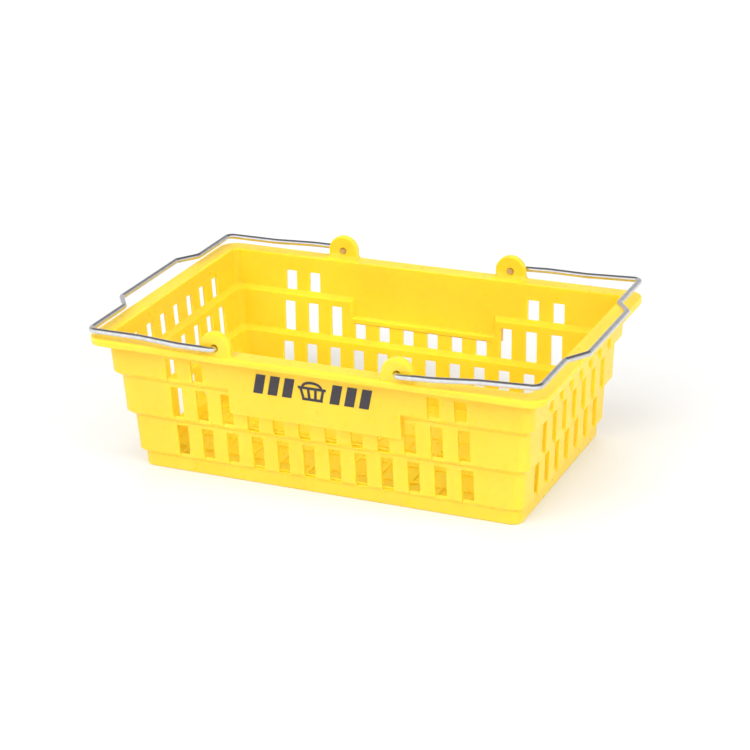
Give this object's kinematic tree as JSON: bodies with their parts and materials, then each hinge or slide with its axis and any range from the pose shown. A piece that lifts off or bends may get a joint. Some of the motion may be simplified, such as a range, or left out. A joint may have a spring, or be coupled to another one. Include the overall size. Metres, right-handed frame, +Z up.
{
  "type": "shopping basket",
  "caption": "Small rectangular moulded shopping basket with stepped, slotted walls, a turned-over rim and two folding bent-wire handles hinged in lugs on the long sides.",
  "frame": {"origin": "middle of the underside, on the surface the basket stands on", "axes": "+X along the basket's length towards the right-hand handle, +Y towards the back long wall, +Z up"},
  "size_m": [0.2101, 0.1312, 0.0707],
  "materials": {
    "plastic": "yellow injection-moulded plastic, satin gloss",
    "wire": "bright plated steel wire",
    "print": "dark printed ink"
  },
  "bodies": {
    "basket": {"basket": "plastic"},
    "left_handle": {"left_handle": "wire"},
    "right_handle": {"right_handle": "wire"}
  },
  "joints": [
    {"name": "left_handle_hinge", "type": "hinge", "parent": "basket", "child": "left_handle", "pos_m": [-0.0395, 0, 0.064], "axis": [0, 1, 0], "range_deg": [0, 125]},
    {"name": "right_handle_hinge", "type": "hinge", "parent": "basket", "child": "right_handle", "pos_m": [0.0395, 0, 0.064], "axis": [0, -1, 0], "range_deg": [0, 122.5]}
  ]
}
